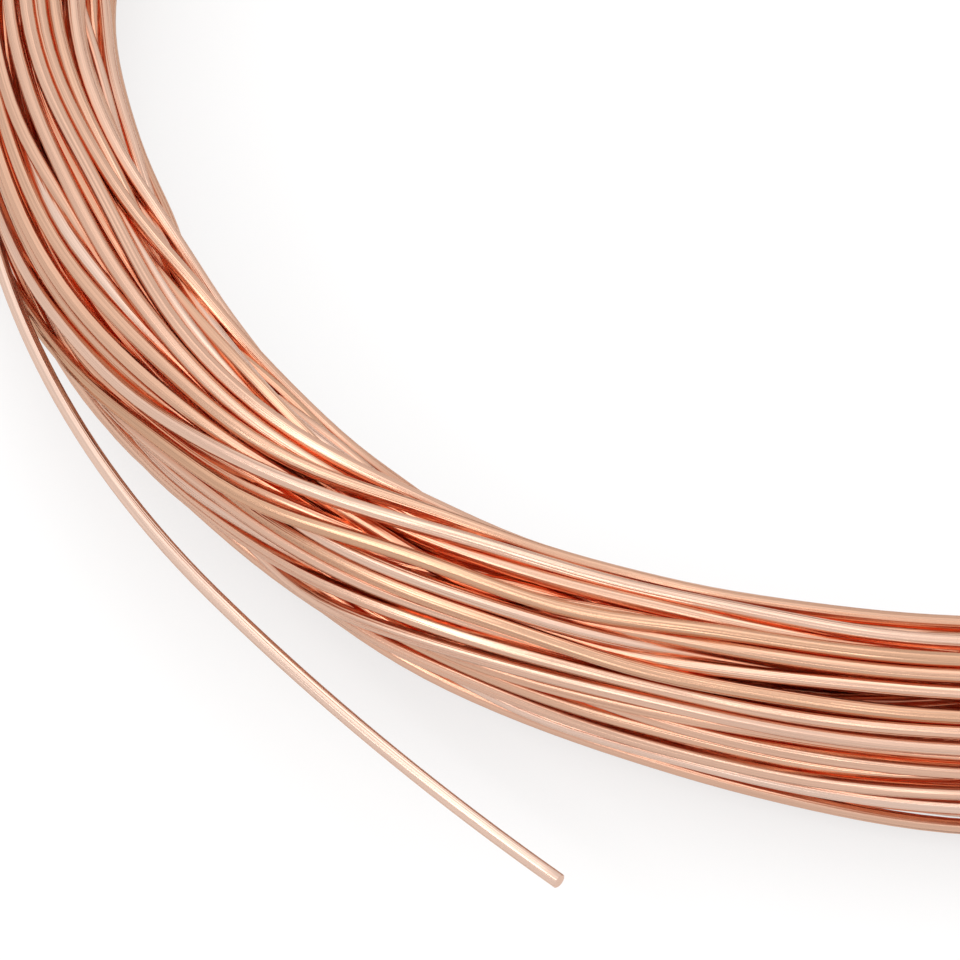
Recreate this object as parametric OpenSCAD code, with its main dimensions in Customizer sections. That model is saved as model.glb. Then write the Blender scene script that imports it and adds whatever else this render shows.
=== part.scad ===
// A coil of bare solid copper wire, lying flat, with the ring's centre at the origin.
// One length of wire is wound on a mandrel into a ring, and its free end stands off the
// outside. The turns lie in rows that nest into each other. The middle rows reach in to the
// mandrel, which leaves a straight inner wall, and the outside and both ends are rounded.

/* [Wire] */
// Diameter of the wire
wire_d = 1; // [0.8:0.05:1.2]

/* [Ring] */
// Radius of the mandrel that the ring was wound on
mandrel_r = 58.5; // [50:0.5:80]
// Rows of turns, one above another: an odd number, with the widest in the middle
rows = 17; // [15:2:19]
// Turns side by side in the widest row
widest_row = 10; // [8:1:11]
// Rows above and below the middle one that reach in to the mandrel
inner_straight_rows = 4; // [2:2:4]
// Rows above and below the middle one that reach out all the way
outer_straight_rows = 1; // [0:1:3]
// Spacing of the turns, in wire diameters
looseness = 1.05; // [1.03:0.01:1.08]

/* [Free end] */
// Direction in which the free end leaves the ring, seen from above
peel_angle = 165; // [0:1:359]
// Rows above the middle one at which the free end leaves
peel_row = 0; // [-2:1:2]
// Radius of the first bend of the free end
first_bend_r = 79.5; // [74:0.5:90]
// Angle that the first bend turns through
first_bend_angle = 54.1; // [40:0.1:65]
// Radius of the last, nearly straight stretch
last_bend_r = 195; // [120:5:300]
// Angle that the last stretch turns through
last_bend_angle = 9.4; // [4:0.1:12]

/* [Hidden] */
copper = [0.78, 0.42, 0.28];
$fn = 96;

wire_r = wire_d / 2;
turn_pitch = wire_d * looseness;
// Rows nest in the grooves of the row below, so they stand closer than the turns do.
row_pitch = turn_pitch * sin(60);
// Rows are numbered from the middle one, with the lowest negative.
last_row = (rows - 1) / 2;
innermost_r = mandrel_r + wire_r;
outermost_r = innermost_r + (widest_row - 1) * turn_pitch;
middle_r = (innermost_r + outermost_r) / 2;
// A turn may stand out of the rounded outline by this part of a turn's pitch.
leeway = 0.25;
// The filling between the turns reaches this far past the outer ones' centres.
groove_fill = 0.12 * wire_d;
// The free end starts this far from the axis, sunk a little in the turns beside it.
leaves_r = outermost_r - 0.5 * wire_d;

// Height of a row's centres above the middle of the ring
function row_z(row) = row * row_pitch;

// How far a row reaches from the middle of the bundle, with so many straight rows beside
// the middle one and the rest drawn in along a quarter of an ellipse
function reach(row, straight_rows) =
    let (past = max(0, abs(row) - straight_rows) / (last_row + 0.5 - straight_rows))
    (outermost_r - middle_r) * sqrt(1 - past * past);

// Radius of a row's first place for a turn: every other row is moved out by half a pitch
function first_place(row) = innermost_r + (row % 2 == 0 ? 0 : turn_pitch / 2);

// Numbers of the first and the last place in a row that a turn fills
function first_turn(row) =
    ceil((middle_r - reach(row, inner_straight_rows) - first_place(row)) / turn_pitch - leeway);
function last_turn(row) =
    floor((middle_r + reach(row, outer_straight_rows) - first_place(row)) / turn_pitch + leeway);

// Distance of a turn from the ring's axis
function turn_r(row, turn) = first_place(row) + turn * turn_pitch;

// Radius of a row's end turn on the outer side (side 1) or the inner side (side -1)
function end_r(row, side) = turn_r(row, side > 0 ? last_turn(row) : first_turn(row));

// Outline of the filling at a row's end. Where a row stands out past the row beyond it by more
// than a turn, or is the last row, it has a shoulder, and the outline takes that in too.
function end_points(row, side) =
    let (is_last = abs(row) == last_row)
    let (beyond_r = is_last ? middle_r : end_r(row + sign(row), side))
    let (end = [end_r(row, side) + side * groove_fill, row_z(row)])
    let (shoulder = [end_r(row, side) - (is_last ? 0 : side * turn_pitch),
                     row_z(row) + sign(row) * groove_fill])
    abs(end_r(row, side) - beyond_r) < turn_pitch ? [end] :
    row > 0 ? [end, shoulder] : [shoulder, end];

// Outline of the filling up one side of the bundle
function side_points(side) =
    [for (row = [-last_row : last_row], point = end_points(row, side)) point];

// A turn shows at the bundle's surface: in the end rows, and as one of a row's outer two
function shows(row, turn) =
    abs(row) == last_row || turn < first_turn(row) + 2 || turn > last_turn(row) - 2;

// Section of the wires that show, at their places beside the axis
module showing_wires() {
    for (row = [-last_row : last_row], turn = [first_turn(row) : last_turn(row)])
        if (shows(row, turn))
            translate([turn_r(row, turn), row_z(row)]) circle(r = wire_r);
}

// Section of the packed turns behind them
module packed_turns() {
    outside = side_points(1);
    inside = side_points(-1);
    polygon(concat(outside, [for (i = [len(inside) - 1 : -1 : 0]) inside[i]]));
}

// Section of the straight inner wall, flush with the wires that lay on the mandrel
module inner_wall() {
    wall_z = row_z(inner_straight_rows);
    translate([mandrel_r, -wall_z]) square([2 * wire_d, 2 * wall_z]);
}

// The wound turns, as one turned ring
module ring() {
    rotate_extrude() {
        packed_turns();
        inner_wall();
        showing_wires();
    }
}

// A bend of bare wire round the Z axis, from the +X direction through an angle
module bend(radius, angle) {
    rotate_extrude(angle = angle) translate([radius, 0]) circle(r = wire_r);
}

// The free end: it leaves the ring along the turn it continues, opens out, and ends cut square.
// Both bends start from the point where they meet, so that their sections there are the same.
module free_end() {
    rotate([0, 0, peel_angle])
        translate([leaves_r - first_bend_r, 0, row_z(peel_row)])
            rotate([0, 0, first_bend_angle]) {
                bend(first_bend_r, -first_bend_angle);
                translate([first_bend_r - last_bend_r, 0, 0]) bend(last_bend_r, last_bend_angle);
            }
}

module wire_coil() {
    color(copper) {
        ring();
        free_end();
    }
}

wire_coil();
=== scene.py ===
import math

import bpy
import numpy as np
from mathutils import Matrix, Vector


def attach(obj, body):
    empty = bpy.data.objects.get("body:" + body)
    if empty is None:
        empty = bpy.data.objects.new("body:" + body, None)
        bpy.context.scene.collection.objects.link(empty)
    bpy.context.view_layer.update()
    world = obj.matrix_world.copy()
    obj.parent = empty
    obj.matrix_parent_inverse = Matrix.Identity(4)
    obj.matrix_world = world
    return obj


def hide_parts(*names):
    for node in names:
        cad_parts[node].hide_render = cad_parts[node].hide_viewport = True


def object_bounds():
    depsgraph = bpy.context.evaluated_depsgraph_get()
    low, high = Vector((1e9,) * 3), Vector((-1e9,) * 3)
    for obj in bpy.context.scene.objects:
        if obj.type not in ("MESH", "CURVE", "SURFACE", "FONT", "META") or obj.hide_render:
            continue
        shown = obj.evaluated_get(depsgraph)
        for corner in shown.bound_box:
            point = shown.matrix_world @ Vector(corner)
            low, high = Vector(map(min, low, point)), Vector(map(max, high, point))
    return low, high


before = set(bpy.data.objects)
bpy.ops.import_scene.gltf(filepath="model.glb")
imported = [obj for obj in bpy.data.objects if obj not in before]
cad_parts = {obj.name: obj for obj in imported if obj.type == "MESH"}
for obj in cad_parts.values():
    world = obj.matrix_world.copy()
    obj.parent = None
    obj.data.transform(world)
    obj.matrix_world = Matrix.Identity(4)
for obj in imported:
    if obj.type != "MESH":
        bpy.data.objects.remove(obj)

CAD_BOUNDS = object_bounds()

# A loose coil of bare copper wire: one wire, wound into a ring, with a free end that stands off it.
# The wire is worked out turn by turn, at even stations round the ring, as places in the plane of the
# bundle's section: (outward, up) from the ring's middle line.

# ---------------------------------------------------------------- sizes, in millimetres and degrees
WIRE = 1.0                # the wire's diameter
HALF_WIRE = 0.5 * WIRE
RING = 63.7               # radius of the bundle's middle line
TURNS = 98
STATIONS = 240            # stations in a turn
COUNT = TURNS * STATIONS
STEP = 360.0 / STATIONS
MM = 1000.0               # millimetres in a metre
FLOOR = MM * CAD_BOUNDS[0][2]
LOWEST = FLOOR + HALF_WIRE    # of a wire's centre

# The free end: where the last turn leaves the bundle, and its arcs as (radius, angle, points).
END_ANGLE = 165.0
LEAVES = 67.95
END_ARCS = [(79.5, 54.1, 46), (195.0, 9.4, 18)]

# The wire's mesh.
SIDES = 14
PIECES = 4                # lengths that it is cut into, so that none is too large
CHAMFER = 0.05            # length of the worn edge of the free end's cut face
CUT_SIZE = 0.9            # size of a cut face, as a share of the wire

# The camera's place and aim. The picture is square.
EYE = np.array([-33.34, -353.1, 368.9])
TILT = 50.0               # how steeply it looks down
FOCAL = 277.1
SENSOR = 36.0

# ---------------------------------------------------------------- the bundle's outline round the ring
# Each list gives a value at a few angles. The section is an oval, and LEAN tips its top outward.
HALF_WIDTH = [(0, 5.2), (50, 5.5), (90, 5.1), (135, 5.4), (186, 5.4), (194, 5.65), (203, 5.58), (210, 5.75),
              (224, 5.0), (232, 4.95), (240, 5.3), (250, 5.05), (268, 5.5), (310, 5.3)]
HALF_HEIGHT = [(0, 7.4), (45, 6.9), (90, 7.3), (186, 7.2), (206, 7.3), (226, 7.2), (246, 7.3), (268, 7.7),
               (310, 7.5)]
LEAN = [(0, 0), (45, -8), (90, 3), (135, 10), (186, 0), (206, 2), (222, 24), (234, 22), (250, 2), (270, -18),
        (310, -6)]
SHIFT_OUT = [(0, 0), (90, 0), (184, 0.2), (196, -0.2), (204, -0.1), (212, 0.22), (222, -0.22), (235, 0.6),
             (246, -0.1), (256, -0.4), (270, 0.45), (300, 0.2)]
# How far the bundle sags, so that it lies on the floor.
SAG = [(0, 0.45), (35, 0.95), (60, 0.80), (96, 0.50), (130, 0.6), (156, 0.4), (172, 0), (290, 0), (320, 0.4),
       (340, 0.36)]
# How far the bundle is twisted.
TWIST = [(0, 10), (60, 30), (120, -10), (180, -12), (190, -5), (250, 72), (275, 78), (330, 40)]

angle = END_ANGLE + STEP * np.arange(STATIONS)
ring_angle = angle % 360


def round_ring(knots):
    """A value given at a few angles, smoothed and repeating every full turn, at every station."""
    reach = 15
    width = 4.0
    x, y = np.array(knots, float).T
    v = np.interp(np.arange(0, 360, 1.0), np.concatenate([x - 360, x, x + 360]), np.tile(y, 3))
    kernel = np.exp(-0.5 * (np.arange(-reach, reach + 1) / width) ** 2)
    kernel /= kernel.sum()
    v = np.convolve(np.concatenate([v[-reach:], v, v[:reach]]), kernel, "valid")
    return np.interp(ring_angle, np.arange(0, 361), np.append(v, v[0]))


half_width = round_ring(HALF_WIDTH)
half_height = round_ring(HALF_HEIGHT)
lean = np.radians(round_ring(LEAN))
shift = round_ring(SHIFT_OUT)
sag = round_ring(SAG)

# The oval that the outermost wires' centres lie on, and its lean.
centre_width = half_width - HALF_WIRE
centre_height = half_height - HALF_WIRE
lean_cos = np.cos(lean)
lean_sin = np.sin(lean)

# Towards the eye and across the view, both in the plane of the section (outward, up).
out_x = np.cos(np.radians(angle))
out_y = np.sin(np.radians(angle))
to_eye = EYE - np.stack([RING * out_x, RING * out_y, 0 * out_x], -1)
view = np.stack([to_eye[:, 0] * out_x + to_eye[:, 1] * out_y, to_eye[:, 2]], -1)
distance = np.linalg.norm(view, axis=1)
view /= distance[:, None]
across = np.stack([view[:, 1], -view[:, 0]], -1)
# How far a place slides along the ring, as seen, for each millimetre that it stands nearer the eye.
slant = (to_eye[:, 1] * out_x - to_eye[:, 0] * out_y) / distance


def own_axes(v, j):
    """Directions (outward, up) at the stations j, along the section's own leaning axes."""
    c, s = lean_cos[j], lean_sin[j]
    return v[..., 0] * c - v[..., 1] * s, v[..., 0] * s + v[..., 1] * c


def radius_of_outline(direction, j):
    """How far a wire's centre may lie from the outline's middle along unit directions (outward, up)."""
    a, b = own_axes(direction, j)
    return 1.0 / np.sqrt((a / centre_width[j]) ** 2 + (b / centre_height[j]) ** 2)


def from_disc(u, v):
    """Places in a unit disc, one row per turn, put into the leaning outline at every station."""
    w = centre_width * u
    h = centre_height * v
    return np.stack([shift + w * lean_cos + h * lean_sin, -w * lean_sin + h * lean_cos], -1)


def edges_across():
    """The middle of the outline and half its span across the view, from the ring's middle line."""
    a, b = own_axes(across, slice(None))
    return shift * across[:, 0], np.hypot(half_width * a, half_height * b)


mid_across, half_span = edges_across()


def on_surface(j, place, depth):
    """The wire's centre on the side that faces the eye: place 0 to 1 across it, depth below its surface."""
    reach = half_span[j] - HALF_WIRE
    q = (2 * place - 1) * half_span[j]
    loose = np.clip(np.abs(q) - reach, 0, None) * (place > 1)
    q = np.clip(q, -reach, reach)
    w, h = centre_width[j], centre_height[j]
    n, f = across[j], view[j]
    # On the leaning oval, q across and the height towards the eye that goes with it.
    na, nb = own_axes(n, j)
    fa, fb = own_axes(f, j)
    aa = (fa / w) ** 2 + (fb / h) ** 2
    bb = 2 * q * (fa * na / w ** 2 + fb * nb / h ** 2)
    cc = q * q * ((na / w) ** 2 + (nb / h) ** 2) - 1
    up = (-bb + np.sqrt(np.clip(bb * bb - 4 * aa * cc, 0, None))) / (2 * aa)
    q = q + loose
    up = up - depth
    return np.stack([shift[j] + q * n[:, 0] + up * f[:, 0], q * n[:, 1] + up * f[:, 1]], -1)


# ---------------------------------------------------------------- the turns that show
# Each line is one stretch of wire on the side that faces the eye, as (angle round the ring at which the
# eye sees it, place across the bundle from its inner edge 0 to its outer edge 1, depth below the
# bundle's surface in mm).
SHOWING = {
    "A": [(176, .06, 0), (186, .05, 0), (195, .045, 0), (200, .043, .2), (205, .055, .9), (212, .13, 1.8),
          (220, .2, 2.3)],
    "A2": [(176, .09, .7), (190, .075, .5), (196, .06, .7), (203, .05, 1.3)],
    "F": [(176, .28, .1), (185, .24, 0), (188, .225, 0), (190, .205, 0), (192, .19, 0), (194, .165, 0),
          (196, .14, -.1), (200, .115, -.1), (202, .095, -.1), (204, .07, -.1), (206, .05, -.1),
          (208, .043, 0), (213, .04, 0), (216, .043, .1), (219, .055, .6), (221, .085, 1.1),
          (224, .14, 1.7), (230, .22, 2.4), (240, .30, 3.0)],
    "G": [(176, .42, .2), (185, .345, .1), (188, .31, .2), (190, .285, .2), (193, .255, .4),
          (196, .225, .8), (201, .18, 1.4)],
    "B": [(176, .51, .2), (185, .43, .1), (190, .355, 0), (193, .305, 0), (195, .275, 0), (198, .24, 0),
          (200, .215, 0), (202, .185, 0), (204, .15, 0), (206, .125, 0), (208, .11, 0), (211, .095, 0),
          (215, .082, 0), (219, .058, 0), (222, .043, 0), (227, .04, 0), (229, .047, .2), (231, .062, .5),
          (233, .085, .9), (238, .15, 1.6)],
    "C": [(176, .57, .1), (185, .49, 0), (190, .42, 0), (193, .375, 0), (195, .345, 0), (200, .31, 0),
          (203, .29, 0), (206, .285, 0), (210, .29, -.1), (213, .29, -.1), (217, .265, -.2),
          (221, .235, -.2), (223, .205, -.2), (225, .185, -.2), (227, .14, -.2), (229, .12, -.1),
          (231, .10, 0), (233, .082, 0), (235, .066, .1), (238, .05, .1), (243, .043, .1), (246, .04, .2),
          (249, .045, .5), (254, .07, 1.3)],
    "D1": [(186, .54, 1.2), (190, .49, .7), (192, .46, .5), (195, .412, .4), (200, .363, .4),
           (203, .345, .5), (207, .33, 1.2)],
    "H": [(176, .69, .1), (185, .607, .1), (188, .567, 0), (190, .545, 0), (192, .525, 0), (195, .49, 0),
          (197, .47, 0), (200, .445, 0), (203, .43, 0), (206, .405, 0), (208, .385, 0), (213, .385, 0),
          (217, .35, 0), (221, .32, .1), (223, .285, .3), (225, .25, .5), (229, .18, 1.2)],
    "J": [(176, .80, .2), (185, .74, .2), (188, .70, .2), (190, .675, .2), (192, .65, .2), (194, .62, .2),
          (196, .585, .3), (198, .55, .3), (200, .52, .4), (202, .50, .6), (208, .45, 1.3)],
    "K": [(188, .70, 1.2), (196, .617, .2), (198, .592, .1), (200, .567, .1), (202, .54, .1),
          (204, .51, .1), (206, .49, .2), (209, .463, .4), (212, .45, .8), (217, .42, 1.4)],
    "I": [(180, .80, .6), (190, .735, .3), (192, .715, .2), (194, .70, .1), (196, .675, .1),
          (198, .665, 0), (200, .648, 0), (202, .625, 0), (204, .595, 0), (206, .565, 0), (208, .535, 0),
          (210, .51, 0), (213, .485, 0), (217, .448, 0), (219, .425, -.1), (221, .39, -.1),
          (223, .352, -.2), (225, .292, -.2), (227, .245, -.2), (229, .185, -.1), (231, .145, 0),
          (235, .10, .1), (238, .085, .1), (240, .075, .1), (243, .055, .1), (246, .04, .1),
          (249, .035, 0), (255, .03, 0), (260, .025, 0), (275, .02, 0)],
    "I2": [(180, .86, .9), (190, .775, .5), (195, .745, .4), (200, .715, .4), (203, .695, .5),
           (206, .67, .8), (211, .63, 1.4)],
    "E1": [(201, .24, 1.2), (207, .20, .7), (210, .185, .5), (215, .18, .5), (220, .19, .6),
           (224, .18, 1.2)],
    "E2": [(206, .15, 1.2), (211, .145, .6), (215, .14, .5), (218, .155, .6), (222, .175, .8),
           (226, .16, 1.3)],
    "E3": [(202, .25, 1.0), (208, .235, .5), (215, .225, .4), (219, .215, .6), (225, .20, 1.3)],
    "E4": [(214, .12, 1.2), (219, .11, .5), (223, .11, .4), (227, .115, .6), (231, .10, 1.3)],
    "L": [(180, .86, .3), (190, .82, .1), (195, .79, 0), (198, .775, 0), (200, .757, 0), (202, .745, 0),
          (204, .725, 0), (206, .695, 0), (208, .66, 0), (210, .645, 0), (213, .61, 0), (215, .585, 0),
          (217, .557, 0), (219, .535, .1), (221, .505, .4), (223, .46, .8), (227, .38, 1.3)],
    "L2": [(186, .88, .9), (192, .855, .4), (198, .83, .3), (200, .815, .3), (202, .80, .3),
           (205, .755, .4), (208, .71, .4), (211, .68, .4), (214, .655, .4), (217, .61, .7),
           (222, .54, 1.3)],
    "U4": [(203, .65, 1.1), (209, .585, .5), (212.5, .572, .5), (216, .56, 1.2)],
    "P": [(180, .97, .1), (190, .955, 0), (196, .94, 0), (198, .92, 0), (200, .90, -.1), (202, .885, -.1),
          (204, .855, -.2), (206, .83, -.2), (208, .795, -.3), (210, .775, -.4), (213, .735, -.5),
          (216, .67, -.6), (218, .62, -.7), (220, .58, -.7), (222, .515, -.7), (224, .445, -.7),
          (226, .38, -.7), (228, .33, -.7), (230, .27, -.6), (232, .228, -.6), (235, .175, -.5),
          (238, .135, -.3), (240, .125, -.3), (243, .11, -.2), (246, .105, -.2), (252, .10, -.2),
          (255, .105, -.2), (260, .125, -.1), (265, .125, -.1), (275, .125, 0)],
    "P3": [(229, .32, 1.2), (235, .215, .6), (240, .197, .45), (245, .185, .45), (250, .172, .45),
           (255, .165, .6), (260, .17, 1.2)],
    "Q": [(176, 1.16, .6), (190, 1.11, .3), (196, 1.085, .1), (200, 1.055, -.1), (202, 1.035, -.2),
          (204, 1.005, -.3), (206, .965, -.3), (208, .92, -.4), (210, .885, -.4), (213, .84, -.5),
          (215, .815, -.6), (217, .785, -.6), (219, .755, -.6), (221, .725, -.6), (223, .685, -.6),
          (225, .625, -.6), (227, .55, -.6), (229, .49, -.6), (231, .44, -.5), (233, .385, -.3),
          (235, .357, -.1), (239, .342, 0), (242, .33, 0), (245, .31, 0), (250, .258, 0), (255, .222, 0),
          (260, .218, 0), (265, .21, 0), (275, .205, 0)],
    "Q1": [(208, .86, 1.0), (211, .82, .5), (214, .785, .3), (217, .73, .2), (220, .675, .2),
           (222, .64, .2), (224, .595, .3), (226, .52, .4), (228, .45, .6), (232, .37, 1.3)],
    "U1": [(215, .68, 1.3), (220, .63, .5), (222, .61, .4), (224, .58, .7), (228, .49, 1.3)],
    "U2": [(219, .885, 1.1), (222, .865, .4), (225, .82, .3), (227.5, .785, .4), (232, .73, 1.3)],
    "U3": [(210, .85, 1.1), (214, .865, .5), (218, .885, .8), (221, .90, 1.4)],
    "Y": [(240, .37, 1.2), (246, .34, .5), (250, .31, .2), (252, .295, .1), (255, .285, 0),
          (260, .285, 0), (265, .275, 0), (275, .27, 0)],
    "M": [(222, .60, 1.2), (228.5, .575, .4), (230, .555, .2), (233, .525, .1), (235, .485, .1),
          (237, .445, .1), (240, .417, .1), (245, .39, .3), (248, .38, .6), (253, .36, 1.3)],
    "N": [(235, .53, 1.0), (241, .48, .5), (245, .45, .4), (250, .415, .3), (255, .40, .2),
          (260, .365, .2), (265, .357, .2), (275, .355, .2)],
    "T0": [(219, .75, 1.1), (225, .715, .3), (227, .68, .2), (229, .645, .2), (231, .61, .2),
           (233, .585, .2), (235, .555, .2), (237, .53, .1), (240, .51, 0), (245, .505, 0), (250, .50, 0),
           (255, .485, 0), (260, .475, 0), (265, .465, 0), (275, .46, 0)],
    "T": [(212, .88, 1.1), (216, .85, .5), (218, .83, .2), (220, .81, .1), (222, .80, 0), (225, .77, 0),
          (228, .735, 0), (230, .70, 0), (232, .665, 0), (235, .62, 0), (240, .58, .2), (244, .56, .7),
          (249, .54, 1.3)],
    "V": [(190, 1.0, .8), (200, .97, .3), (204, .965, .3), (208, .965, .2), (210, .93, 0), (215, .925, 0),
          (220, .925, 0), (223, .915, 0), (226, .88, 0), (228, .83, 0), (230, .79, 0), (235, .705, 0),
          (240, .62, 0), (245, .595, 0), (250, .575, 0), (255, .565, 0), (260, .555, 0), (265, .53, 0),
          (275, .525, 0)],
    "W": [(216, 1.0, .8), (222, .98, .3), (225, .955, 0), (228, .92, 0), (230, .885, 0), (232, .86, 0),
          (235, .815, 0), (237, .785, 0), (240, .735, 0), (243, .705, 0), (245, .69, 0), (250, .65, 0),
          (255, .64, 0), (260, .625, 0), (265, .61, 0), (275, .60, 0)],
    "W2": [(236, .80, 1.2), (241, .765, .6), (245, .735, .5), (250, .70, .4), (254, .672, .6),
           (259, .65, 1.3)],
    "Z": [(239, .76, 1.3), (247, .742, .6), (250, .742, .35), (255, .74, .3), (257, .737, .3),
          (260, .73, .3), (265, .705, .2), (275, .70, .2)],
    "Z2": [(231, .85, 1.2), (238, .79, .6), (241, .79, .5), (245, .79, .5), (250, .785, .5),
           (253, .775, .7), (258, .77, 1.2)],
    "X": [(222, 1.0, 1.0), (228, .955, .2), (230, .93, .1), (233, .92, 0), (235, .905, 0), (237, .885, 0),
          (240, .88, 0), (245, .88, 0), (250, .875, 0), (255, .862, 0), (260, .843, 0), (265, .81, 0),
          (275, .795, 0)],
    "X2": [(246, .92, 1.2), (255, .90, .7), (260, .893, .5), (265, .872, .3), (275, .86, .3)],
    "S": [(200, 1.0, 1.2), (210, .975, .3), (220, .965, 0), (230, .96, .1), (235, .92, 1.0),
          (242, .86, 2.0)],
    "S2": [(224, 1.0, 1.3), (232, .99, .4), (235, .975, 0), (240, .98, 0), (245, .97, 0), (250, .97, 0),
           (255, .965, 0), (265, .965, 0), (275, .955, 0)],
}

# The two that lie past the ring's outer edge before they cross it.
PAST_EDGE = ("P", "Q")

# Lengths of the wire that have gone browner (below 0) or paler (above 0) than the rest.
TONES = {"Q": -.8, "P": .5, "K": .9, "I": -.3, "L": -.3, "L2": -.2, "F": .3, "H": .1, "C": .1, "Y": -.4,
         "Q1": -.2, "W": .4, "V": .15, "S": .1, "S2": .1, "X": .2, "E3": .8, "M": .6, "T": .2, "N": .2,
         "Z": .1, "G": -.2, "J": -.1}

LEAD_MARGIN = 45          # degrees past a line's ends in which its turn is looked at,
LEAD_FADE = 30.0          # and in which it is let go
SLIDE_ROUNDS = 5          # rounds in which a seen angle is turned into the angle round the ring


def ease(t):
    """From 0 to 1 with a gentle start and end."""
    return t * t * (3 - 2 * t)


def smooth_line(x, y, at):
    """A smooth line through given points, level beyond its ends."""
    slope = np.gradient(y, x)
    k = np.clip(np.searchsorted(x, at) - 1, 0, len(x) - 2)
    h = x[k + 1] - x[k]
    t = np.clip((at - x[k]) / h, 0, 1)
    return (y[k] * (2 * t ** 3 - 3 * t ** 2 + 1) + y[k + 1] * (3 * t ** 2 - 2 * t ** 3)
            + slope[k] * h * (t ** 3 - 2 * t ** 2 + t) + slope[k + 1] * h * (t ** 3 - t ** 2))


def gauss_rows(v, width):
    """Smooths along the wire (first axis), the ends held by repeating them."""
    reach = int(4 * width) + 1
    size = len(v) + 2 * reach
    padded = np.concatenate([np.repeat(v[:1], reach, 0), v, np.repeat(v[-1:], reach, 0)])
    f = np.fft.rfftfreq(size)
    gain = np.exp(-2 * (np.pi * f * width) ** 2)
    back = np.fft.irfft(np.fft.rfft(padded, axis=0) * gain[:, None], size, axis=0)
    return back[reach:reach + len(v)]


def lead_turns(rows, tone):
    """Gives each line in SHOWING the nearest turn that is still free, and that turn its tone.

    Returns how firmly every station is led (0 to 1), the place it is led to, and for every turn 1 if it
    stays inside the outer edge or 0 if it doesn't.
    """
    lead = np.zeros((TURNS, STATIONS))
    led_place = np.zeros((TURNS, STATIONS, 2))
    inside_edge = np.ones(TURNS)
    free = np.ones(TURNS, bool)
    free[-1] = False
    for name, line in SHOWING.items():
        a, place, depth = np.array(line, float).T
        j = np.nonzero((ring_angle > a[0] - LEAD_MARGIN) & (ring_angle < a[-1] + LEAD_MARGIN))[0]
        x = ring_angle[j]
        for _ in range(SLIDE_ROUNDS):
            p = on_surface(j, smooth_line(a, place, x), smooth_line(a, depth, x))
            x = ring_angle[j] - np.degrees((p * view[j]).sum(1) * slant[j] / (RING + p[:, 0]))
        inside = (x >= a[0]) & (x <= a[-1])
        off = np.sum((rows[:, j[inside]] - p[inside]) ** 2, axis=(1, 2))
        off[~free] = np.inf
        i = int(np.argmin(off))
        free[i] = False
        fade = ease(np.clip(1 - np.maximum(a[0] - x, x - a[-1]) / LEAD_FADE, 0, 1))
        lead[i, j] = fade
        led_place[i, j] = p
        if name in PAST_EDGE:
            inside_edge[i] = 0
        if name in TONES:
            tone[i, j] = tone[i, j] * (1 - fade) + TONES[name] * fade
    return lead, led_place, inside_edge


# ---------------------------------------------------------------- the wound wire
SEED = 11
WANDERS = [(0.30 * STATIONS, 1.1), (0.07 * STATIONS, 0.30)]    # stations over which a turn wanders, and mm
TONE_WIDTH = 0.25 * STATIONS
TONE_SIZE = 0.45
KNOTS = 5                 # places in the bundle where strands turn about each other
TAIL = 70                 # stations before its end from which the last turn comes up to the free end,
TAIL_RISE = 60.0          # and how many it takes

# The turns settle step by step. The shares are of what is still wrong in each step.
STEPS = 420
PAIRS_EVERY = 8           # steps between two searches for neighbours
NEIGHBOURS = 1.35         # diameters within which two turns are neighbours
PUSH_APART = 0.7
BACK_INSIDE = 0.5
OFF_FLOOR = 0.6
OWN_PLACE = 0.03          # for turns that aren't led, at the first step
LED_ACROSS = 0.25
LED_IN_DEPTH = 0.10
LOOSER_FROM = 0.65        # part of the steps after which led turns are held less firmly,
LOOSER = 0.3              # and how much
SINK = 0.7                # mm that turns that aren't led keep below the outline, where they would show
LONGEST_MOVE = 0.15
MOVE_WIDTH = 2.5          # stations over which a step's moves are evened out


def home_places():
    """Every turn's place in the unit disc, laid in winding order: up one layer and down the next."""
    pitch = 0.5
    tighter = 0.995
    filled = 0.96         # square of the radius that they fill
    most = 40             # more than any half layer holds
    while True:
        row = pitch * math.sqrt(0.75)
        places = []
        layers = int(1.0 / row) + 1
        for n, layer in enumerate(range(-layers, layers + 1)):
            x = layer * row
            column = []
            for k in range(-most, most + 1):
                y = (k + 0.5 * (n % 2)) * pitch
                if x * x + y * y <= filled:
                    column.append((x, y))
            if n % 2:
                column.reverse()
            places += column
        if len(places) >= TURNS + 1:
            return np.array(places[:TURNS + 1])
        pitch *= tighter


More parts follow.
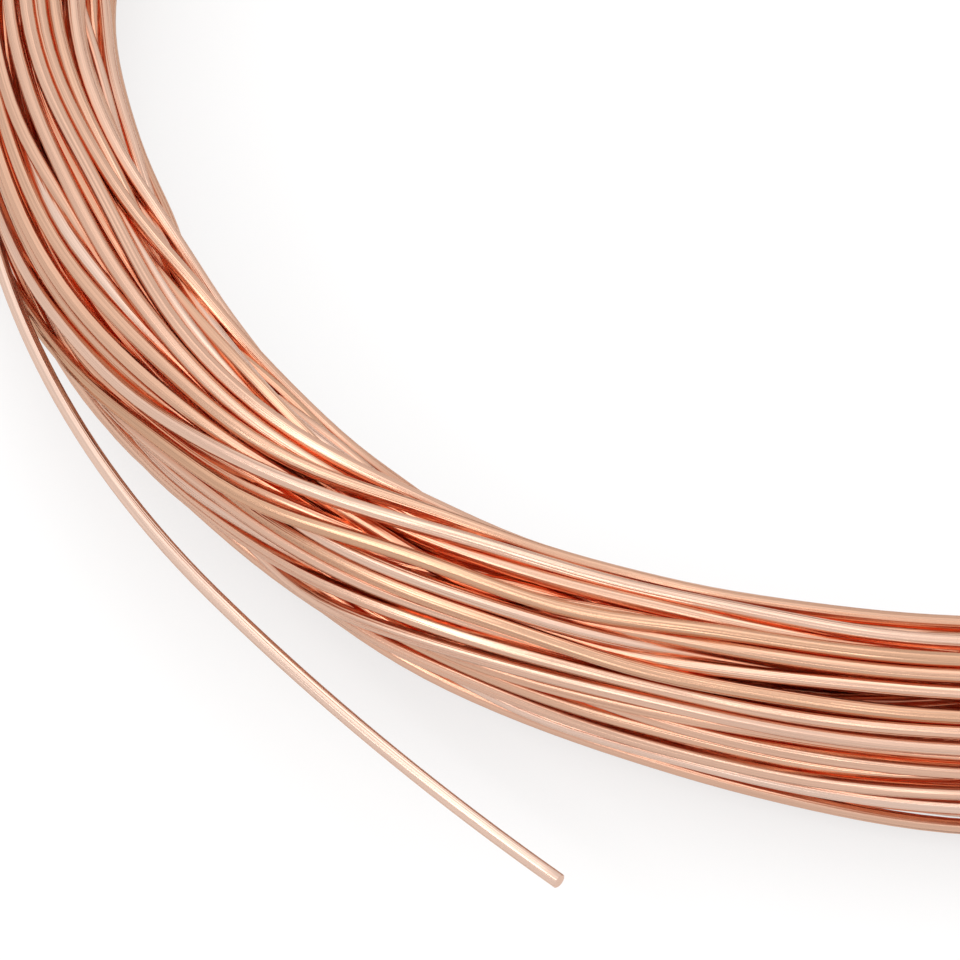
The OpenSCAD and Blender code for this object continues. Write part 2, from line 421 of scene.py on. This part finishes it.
def twisted_bundle(rng):
    """Where every turn would lie if the others didn't push it."""
    home = home_places()
    part = np.arange(STATIONS) / STATIONS
    u = home[:-1, 0:1] * (1 - part) + home[1:, 0:1] * part
    v = home[:-1, 1:2] * (1 - part) + home[1:, 1:2] * part

    # The bundle is twisted as a whole, and a few strands of it turn about each other.
    twist = np.radians(round_ring(TWIST))
    u, v = u * np.cos(twist) - v * np.sin(twist), u * np.sin(twist) + v * np.cos(twist)
    far_side = 1 - 0.75 * np.clip((ring_angle - 165) / 15, 0, 1) * np.clip((290 - ring_angle) / 15, 0, 1)
    for _ in range(KNOTS):
        place = rng.uniform(-0.6, 0.6, 2)
        reach = rng.uniform(0.35, 0.6)
        phase = rng.uniform(0, 360)
        turn = np.radians(70 * np.sin(np.radians(angle * rng.integers(1, 4) + phase))) * far_side
        du = u - place[0]
        dv = v - place[1]
        near = np.clip(1 - np.hypot(du, dv) / reach, 0, 1)
        t = turn * near * near * (3 - 2 * near)
        u, v = place[0] + du * np.cos(t) - dv * np.sin(t), place[1] + du * np.sin(t) + dv * np.cos(t)
    places = from_disc(u, v).reshape(COUNT, 2)

    # Every turn also wanders by itself: slowly by more than a wire, quickly by less.
    for width, size in WANDERS:
        wander = gauss_rows(rng.normal(size=(COUNT, 2)), width)
        places += size * wander / wander.std()
    return places


def near_pairs(places):
    """Pairs of neighbours, as numbers along the wire, at every station."""
    grid = places.reshape(TURNS, STATIONS, 2)
    turn_a = []
    turn_b = []
    reach = (NEIGHBOURS * WIRE) ** 2
    for j in range(STATIONS):
        x = grid[:, j, 0]
        y = grid[:, j, 1]
        d = (x[:, None] - x) ** 2 + (y[:, None] - y) ** 2
        a, b = np.nonzero(np.triu(d < reach, 1))
        turn_a.append(a * STATIONS + j)
        turn_b.append(b * STATIONS + j)
    return np.concatenate(turn_a), np.concatenate(turn_b)


def settle(target, lead, inside_edge):
    """Pushes the turns apart until they rest on each other, near the places that they are drawn to."""
    station = np.tile(np.arange(STATIONS), TURNS)
    p = gauss_rows(target, 3.0)
    seen = (np.clip((ring_angle - 172) / 14.0, 0, 1) * np.clip((292 - ring_angle) / 20.0, 0, 1))[station]
    sink = SINK * seen * (1 - lead)
    middle = np.stack([shift, 0 * shift], -1)[station]
    facing = view[station]
    sideways = across[station]
    inner_edge = (mid_across - half_span)[station] + HALF_WIRE
    outer_edge = (mid_across + half_span)[station] - HALF_WIRE
    for n in range(STEPS):
        if n % PAIRS_EVERY == 0:
            a, b = near_pairs(p)
        d = p[a] - p[b]
        length = np.sqrt((d * d).sum(1)) + 1e-9
        push = np.clip(WIRE - length, 0, None) / length * 0.5
        gx = push * d[:, 0]
        gy = push * d[:, 1]
        move = np.stack([
            np.bincount(a, gx, COUNT) - np.bincount(b, gx, COUNT),
            np.bincount(a, gy, COUNT) - np.bincount(b, gy, COUNT)], -1)
        move *= PUSH_APART
        # back inside the outline, and below it where the eye sees it, most of all on the outer side
        rel = p - middle
        dist = np.sqrt((rel * rel).sum(1)) + 1e-9
        direction = rel / dist[:, None]
        outer = np.clip((direction * sideways).sum(1), 0, 1)
        front = np.clip(0.5 + 0.3 * outer + (direction * facing).sum(1), 0, 1)
        limit = radius_of_outline(direction, station) - sink * front * (1 + 1.6 * outer)
        over = np.clip(dist - limit, 0, None)
        move -= direction * (over * BACK_INSIDE * (1 - lead))[:, None]
        # between the two edges that the eye sees
        beside = (p * sideways).sum(1)
        back_in = np.clip(inner_edge - beside, 0, None) - np.clip(beside - outer_edge, 0, None) * inside_edge
        move += sideways * (BACK_INSIDE * back_in * seen)[:, None]
        # off the floor
        move[:, 1] += OFF_FLOOR * np.clip(LOWEST - p[:, 1], 0, None)
        # towards its own place
        pull = target - p
        slack = OWN_PLACE * max(0.0, 1 - 1.4 * n / STEPS)
        move += pull * (slack * (1 - lead))[:, None]
        grip = 1.0 if n < LOOSER_FROM * STEPS else LOOSER
        move += sideways * ((pull * sideways).sum(1) * LED_ACROSS * grip * lead)[:, None]
        move += facing * ((pull * facing).sum(1) * LED_IN_DEPTH * grip * lead)[:, None]
        move = gauss_rows(move, MOVE_WIDTH)
        p = p + np.clip(move, -LONGEST_MOVE, LONGEST_MOVE)
        if n % 20 == 19:
            p = gauss_rows(p, 1.2)
    return p


def print_overlaps(p):
    """How far neighbouring turns still press into each other."""
    a, b = near_pairs(p)
    over = WIRE - np.linalg.norm(p[a] - p[b], axis=1)
    over = over[over > 0]
    print("overlap: mean %.3f, 95%% %.3f, most %.3f mm" % (over.mean(), np.percentile(over, 95), over.max()))


def wound_wire():
    """The wound part of the wire, station by station: its places (outward, up) and its tones."""
    rng = np.random.default_rng(SEED)
    rows = twisted_bundle(rng).reshape(TURNS, STATIONS, 2)
    tone = gauss_rows(rng.normal(size=(COUNT, 1)), TONE_WIDTH)
    tone = (TONE_SIZE * tone / tone.std()).reshape(TURNS, STATIONS)
    lead, led_place, inside_edge = lead_turns(rows, tone)
    weight = lead[..., None]
    target = (rows * (1 - weight) + led_place * weight).reshape(COUNT, 2)

    # The last turn comes up to the place where the free end leaves.
    tail = ease(np.clip((np.arange(COUNT) - (COUNT - TAIL)) / TAIL_RISE, 0, 1))
    target = target * (1 - tail[:, None]) + np.array([LEAVES - RING, 0.0]) * tail[:, None]
    lead = np.maximum(lead.reshape(COUNT), tail)

    p = settle(target, lead, np.repeat(inside_edge, STATIONS))
    p[:, 1] = np.maximum(p[:, 1] - np.tile(sag, TURNS) * (1 - tail), LOWEST)
    print_overlaps(p)
    return p, tone.reshape(COUNT)


def free_end():
    """Points of the free end: an arc a little wider than the ring, then a nearly straight one."""
    points = []
    a0 = math.radians(END_ANGLE)
    centre = np.zeros(2)
    last_radius = LEAVES
    for radius, sweep, count in END_ARCS:
        centre = centre + (last_radius - radius) * np.array([math.cos(a0), math.sin(a0)])
        for k in range(1, count + 1):
            a = a0 + math.radians(sweep) * k / count
            points.append(centre + radius * np.array([math.cos(a), math.sin(a)]))
        a0 += math.radians(sweep)
        last_radius = radius
    last = points[-1] - points[-2]
    points.append(points[-1] + CHAMFER * last / np.linalg.norm(last))
    return np.array([(x, y, 0.0) for x, y in points])


# Where the copper is painted redder, as shade between the turns.
def painted_shade_mask(places):
    """How much of what each side of the wire faces is other turns: 0 in the open, 1 deep inside."""
    nearest = 24
    around = 2 * np.pi * np.arange(SIDES) / SIDES
    normal = np.stack([np.sin(around), np.cos(around)], -1)
    tilt = np.radians(np.linspace(-75, 75, 9))
    weight = np.cos(tilt) / np.cos(tilt).sum()
    ray = np.stack([normal[:, 0:1] * np.cos(tilt) + normal[:, 1:2] * np.sin(tilt),
                    normal[:, 1:2] * np.cos(tilt) - normal[:, 0:1] * np.sin(tilt)], -1)
    grid = places.reshape(TURNS, STATIONS, 2)
    value = np.zeros((TURNS, STATIONS, SIDES))
    for j in range(0, STATIONS, 2):
        d = grid[None, :, j] - grid[:, None, j]
        length = np.sqrt((d * d).sum(-1))
        order = np.argsort(length, 1)[:, 1:nearest + 1]
        d = np.take_along_axis(d, order[..., None], 1)
        # from the place on the skin to the middle of the other turn
        to = d[:, None] - HALF_WIRE * normal[None, :, None]
        ahead = np.einsum("isnk,srk->isnr", to, ray)
        aside = (to * to).sum(-1)[..., None] - ahead * ahead
        hit = ((ahead > 0) & (aside < HALF_WIRE ** 2)).any(2)
        value[:, j] = hit @ weight
    value[:, 1::2] = 0.5 * (value[:, 0::2] + np.roll(value[:, 0::2], -1, 1))
    return gauss_rows(value.reshape(-1, SIDES), 1.0)


# ---------------------------------------------------------------- the wire's mesh
def tube(name, centres, start, shut, tone, material, cut):
    """A length of wire through the points, 'start' mm from the wire's inner end at its first one.

    'cut' says whether each of its two ends has a cut face. Returns where it ends along the wire, in mm.
    """
    step = np.gradient(centres, axis=0)
    tangent = step / np.linalg.norm(step, axis=1)[:, None]
    up = np.array([0.0, 0.0, 1.0]) - tangent * tangent[:, 2:3]
    up /= np.linalg.norm(up, axis=1)[:, None]
    side = np.cross(tangent, up)
    around = 2 * np.pi * np.arange(SIDES) / SIDES
    ring = up[:, None, :] * np.cos(around)[None, :, None] + side[:, None, :] * np.sin(around)[None, :, None]
    last = len(centres) - 1
    cut_rows = [row for row, wanted in zip((0, last), cut) if wanted]
    size = np.full(len(centres), HALF_WIRE)
    size[cut_rows] *= CUT_SIZE
    verts = (centres[:, None, :] + size[:, None, None] * ring).reshape(-1, 3)
    tone = np.repeat(tone, SIDES)
    shut = shut.reshape(-1)

    # the wire's skin, its faces outward
    i, k = np.meshgrid(np.arange(last), np.arange(SIDES), indexing="ij")
    k2 = (k + 1) % SIDES
    here = i * SIDES
    there = (i + 1) * SIDES
    quads = np.stack([here + k, here + k2, there + k2, there + k], -1).reshape(-1, 4)
    length = start + np.concatenate([[0], np.cumsum(np.linalg.norm(np.diff(centres, axis=0), axis=1))])
    uv_u = np.stack([k, k + 1, k + 1, k], -1).reshape(-1) / SIDES
    uv_v = np.stack([length[i], length[i], length[i + 1], length[i + 1]], -1).reshape(-1) / MM

    # the cut faces, with corners of their own, both facing away from the wire
    faces = []
    for row in cut_rows:
        edge = slice(row * SIDES, (row + 1) * SIDES)
        order = np.arange(SIDES) if row else np.arange(SIDES)[::-1]
        faces.append(len(verts) + order)
        verts = np.concatenate([verts, verts[edge]])
        shut = np.concatenate([shut, np.zeros(SIDES)])
        tone = np.concatenate([tone, tone[edge]])
    uv_u = np.concatenate([uv_u, np.zeros(SIDES * len(faces))])
    uv_v = np.concatenate([uv_v, np.zeros(SIDES * len(faces))])

    mesh = bpy.data.meshes.new(name)
    mesh.vertices.add(len(verts))
    mesh.vertices.foreach_set("co", (verts / MM).reshape(-1))
    corners = np.concatenate([quads.reshape(-1)] + faces)
    sizes = np.array([4] * len(quads) + [SIDES] * len(faces))
    mesh.loops.add(len(corners))
    mesh.loops.foreach_set("vertex_index", corners)
    mesh.polygons.add(len(sizes))
    mesh.polygons.foreach_set("loop_start", np.cumsum(sizes) - sizes)
    mesh.polygons.foreach_set("loop_total", sizes)
    layer = mesh.uv_layers.new(name="wire")
    layer.data.foreach_set("uv", np.stack([uv_u, uv_v], -1).reshape(-1))
    # the mask for the painted shade between turns, and the tones
    for attribute, values in (("painted_shade_mask", shut), ("tone", tone)):
        mesh.attributes.new(attribute, "FLOAT", "POINT").data.foreach_set("value", values)
    mesh.update()
    mesh.validate()
    mesh.shade_smooth()
    mesh.materials.append(material)
    obj = bpy.data.objects.new(name, mesh)
    bpy.context.scene.collection.objects.link(obj)
    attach(obj, "root")
    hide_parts("wire_coil")
    return length[-1]


# ---------------------------------------------------------------- materials
def add_node(tree, kind, inputs, **settings):
    """A new shader node. An input is given as a value, or as the output that is linked to it."""
    node = tree.nodes.new("ShaderNode" + kind)
    for key, value in settings.items():
        setattr(node, key, value)
    for key, value in inputs.items():
        if isinstance(value, bpy.types.NodeSocket):
            tree.links.new(value, node.inputs[key])
        else:
            node.inputs[key].default_value = value
    return node


def map_range(tree, value, from_min, from_max, to_min=0.0, to_max=1.0):
    """A value moved from one range into another."""
    limits = {"From Min": from_min, "From Max": from_max, "To Min": to_min, "To Max": to_max}
    return add_node(tree, "MapRange", {"Value": value, **limits}).outputs["Result"]


def ramp(tree, factor, first, last, between=()):
    """A colour ramp through (position, colour) stops."""
    node = add_node(tree, "ValToRGB", {"Fac": factor})
    stops = node.color_ramp.elements
    for stop, (position, colour) in zip(stops, (first, last)):
        stop.position = position
        stop.color = (*colour, 1)
    for position, colour in between:
        stops.new(position).color = (*colour, 1)
    return node.outputs["Color"]


def copper():
    """Bare drawn copper wire, used a little: tones along it, painted shade redder between the turns, fine
    lines and a slightly uneven gloss.
    """
    material = bpy.data.materials.new("bare_copper_drawn")
    material.use_nodes = True
    tree = material.node_tree
    shader = tree.nodes["Principled BSDF"]
    shader.inputs["Metallic"].default_value = 1.0
    shader.inputs["Specular Tint"].default_value = (0.95, 0.82, 0.74, 1)

    # The colour of each length by its tone, and painted shade: redder where other turns close the wire in,
    # standing in for light that comes by way of them.
    shut = add_node(tree, "Attribute", {}, attribute_name="painted_shade_mask").outputs["Fac"]
    tone = add_node(tree, "Attribute", {}, attribute_name="tone").outputs["Fac"]
    browner = (0.0, (0.565, 0.325, 0.205))
    plain = (0.5, (0.67, 0.41, 0.295))
    paler = (1.0, (0.75, 0.54, 0.44))
    body = ramp(tree, map_range(tree, tone, -1.0, 1.0), browner, paler, [plain])
    # painted shade between the turns: a redder copper, brightest red where the wire is most closed in
    inner = ramp(tree, shut, (0.5, (0.67, 0.315, 0.20)), (0.95, (0.92, 0.42, 0.25)))
    depth = map_range(tree, shut, 0.2, 0.65)
    tone_and_painted_shade = add_node(tree, "Mix", {"Factor": depth, "A": body, "B": inner}, data_type="RGBA")

    # Places on the wire's skin, wrapped round it without a seam.
    uv = add_node(tree, "UVMap", {}, uv_map="wire")
    split = add_node(tree, "SeparateXYZ", {"Vector": uv.outputs["UV"]})
    turn = add_node(tree, "Math", {0: split.outputs["X"], 1: 2 * math.pi}, operation="MULTIPLY")
    along = add_node(tree, "Math", {0: split.outputs["Y"], 1: 14.0}, operation="MULTIPLY")
    cosine = add_node(tree, "Math", {0: turn.outputs["Value"]}, operation="COSINE")
    sine = add_node(tree, "Math", {0: turn.outputs["Value"]}, operation="SINE")
    skin = {"X": cosine.outputs["Value"], "Y": sine.outputs["Value"], "Z": along.outputs["Value"]}
    skin = add_node(tree, "CombineXYZ", skin).outputs["Vector"]

    # Fine lines along the wire, left by the die that it was drawn through.
    lines = add_node(tree, "TexNoise", {"Vector": skin, "Scale": 5.0, "Detail": 4.0, "Roughness": 0.65})
    lines = lines.outputs["Fac"]
    scratched = add_node(tree, "Bump", {"Height": lines, "Strength": 0.35, "Distance": 0.00002})
    streak = map_range(tree, lines, 0.3, 0.7, 0.84, 1.08)
    colour = {"Vector": tone_and_painted_shade.outputs["Result"], "Scale": streak}
    colour = add_node(tree, "VectorMath", colour, operation="SCALE").outputs["Vector"]
    tree.links.new(colour, shader.inputs["Base Color"])

    # The slight unevenness of a hand's breadth of wire, which lets the highlights wander over it.
    uneven = add_node(tree, "TexNoise", {"Vector": skin, "Scale": 1.3, "Detail": 2.0}).outputs["Fac"]
    bump = {"Height": uneven, "Strength": 0.6, "Distance": 0.0003, "Normal": scratched.outputs["Normal"]}
    tree.links.new(add_node(tree, "Bump", bump).outputs["Normal"], shader.inputs["Normal"])
    tree.links.new(map_range(tree, uneven, 0.3, 0.7, 0.14, 0.34), shader.inputs["Roughness"])
    return material


def pale_paper():
    """The floor's material. The camera and the metal see it nearer white, and it keeps its shadow."""
    glow = 0.7
    material = bpy.data.materials.new("pale_floor")
    material.use_nodes = True
    tree = material.node_tree
    shader = tree.nodes["Principled BSDF"]
    shader.inputs["Base Color"].default_value = (0.9, 0.9, 0.9, 1)
    shader.inputs["Roughness"].default_value = 0.6
    white = add_node(tree, "Emission", {"Color": (1, 1, 1, 1)})
    rays = add_node(tree, "LightPath", {})
    seen = rays.outputs["Is Camera Ray"]
    for kind in ("Is Glossy Ray", "Is Transmission Ray"):
        seen = add_node(tree, "Math", {0: seen, 1: rays.outputs[kind]}, operation="MAXIMUM").outputs["Value"]
    share = add_node(tree, "Math", {0: seen, 1: glow}, operation="MULTIPLY").outputs["Value"]
    blend = {"Fac": share, 1: shader.outputs["BSDF"], 2: white.outputs["Emission"]}
    blend = add_node(tree, "MixShader", blend).outputs["Shader"]
    tree.links.new(blend, tree.nodes["Material Output"].inputs["Surface"])
    return material


# ---------------------------------------------------------------- the wire
places, tones = wound_wire()
metal = copper()
all_angle = np.radians(END_ANGLE + STEP * np.arange(COUNT))
radius = RING + places[:, 0]
wound = np.stack([radius * np.cos(all_angle), radius * np.sin(all_angle), places[:, 1]], -1)
end = free_end()
wire = np.concatenate([wound, end])
# the free end stands in the open and gets no painted shade
shut = np.concatenate([painted_shade_mask(places), np.zeros((len(end), SIDES))])
tones = np.concatenate([tones, np.full(len(end), tones[-1])])
cuts = np.linspace(0, len(wire) - 1, PIECES + 1).astype(int)
along_wire = 0.0
for k in range(PIECES):
    part = slice(cuts[k], cuts[k + 1] + 1)
    along_wire = tube("wire_turns_%d" % (k + 1), wire[part], along_wire, shut[part], tones[part], metal,
                      (k == 0, k == PIECES - 1))
print("wire length %.2f m" % (along_wire / MM))

# ---------------------------------------------------------------- floor, light and camera, in metres
bpy.ops.mesh.primitive_plane_add(size=12.0, location=(0, 0, FLOOR / MM))
floor = bpy.context.object
floor.name = "floor"
floor.data.materials.append(pale_paper())

world = bpy.data.worlds.new("studio")
bpy.context.scene.world = world
world.use_nodes = True
world.node_tree.nodes.clear()
background = add_node(world.node_tree, "Background", {"Color": (1, 1, 1, 1), "Strength": 1.0})
add_node(world.node_tree, "OutputWorld", {"Surface": background.outputs["Background"]})

# Each lamp's place, width, height and power. All are aimed at the coil's middle.
LAMPS = {
    "key": ((-0.15, 0.35, 1.1), 0.5, 0.5, 1.0),
    "softbox": ((-0.3, 0.5, 1.5), 2.0, 2.0, 4.0),
    "side": ((-0.62, -0.26, 0.76), 0.35, 0.35, 0.7),
    "fill": ((0.25, -0.95, 1.15), 1.2, 1.2, 1.4),
    "front": ((-0.66, -0.64, 0.78), 1.3, 0.18, 2.3),
}
for name, (place, width, height, power) in LAMPS.items():
    data = bpy.data.lights.new(name, "AREA")
    data.shape = "RECTANGLE"
    data.size = width
    data.size_y = height
    data.energy = power
    lamp = bpy.data.objects.new(name, data)
    lamp.location = place
    lamp.rotation_euler = (-Vector(place)).to_track_quat("-Z", "Y").to_euler()
    bpy.context.scene.collection.objects.link(lamp)

camera_data = bpy.data.cameras.new("camera")
camera_data.lens = FOCAL
camera_data.sensor_width = SENSOR
camera = bpy.data.objects.new("camera", camera_data)
aim = Matrix.Rotation(math.pi / 2 - math.radians(TILT), 4, "X")
camera.matrix_world = Matrix.Translation(Vector(EYE / MM)) @ aim
bpy.context.scene.collection.objects.link(camera)
bpy.context.scene.camera = camera
bpy.context.scene.view_settings.view_transform = "Standard"
bpy.context.scene.cycles.glossy_bounces = 12
bpy.context.scene.cycles.max_bounces = 12
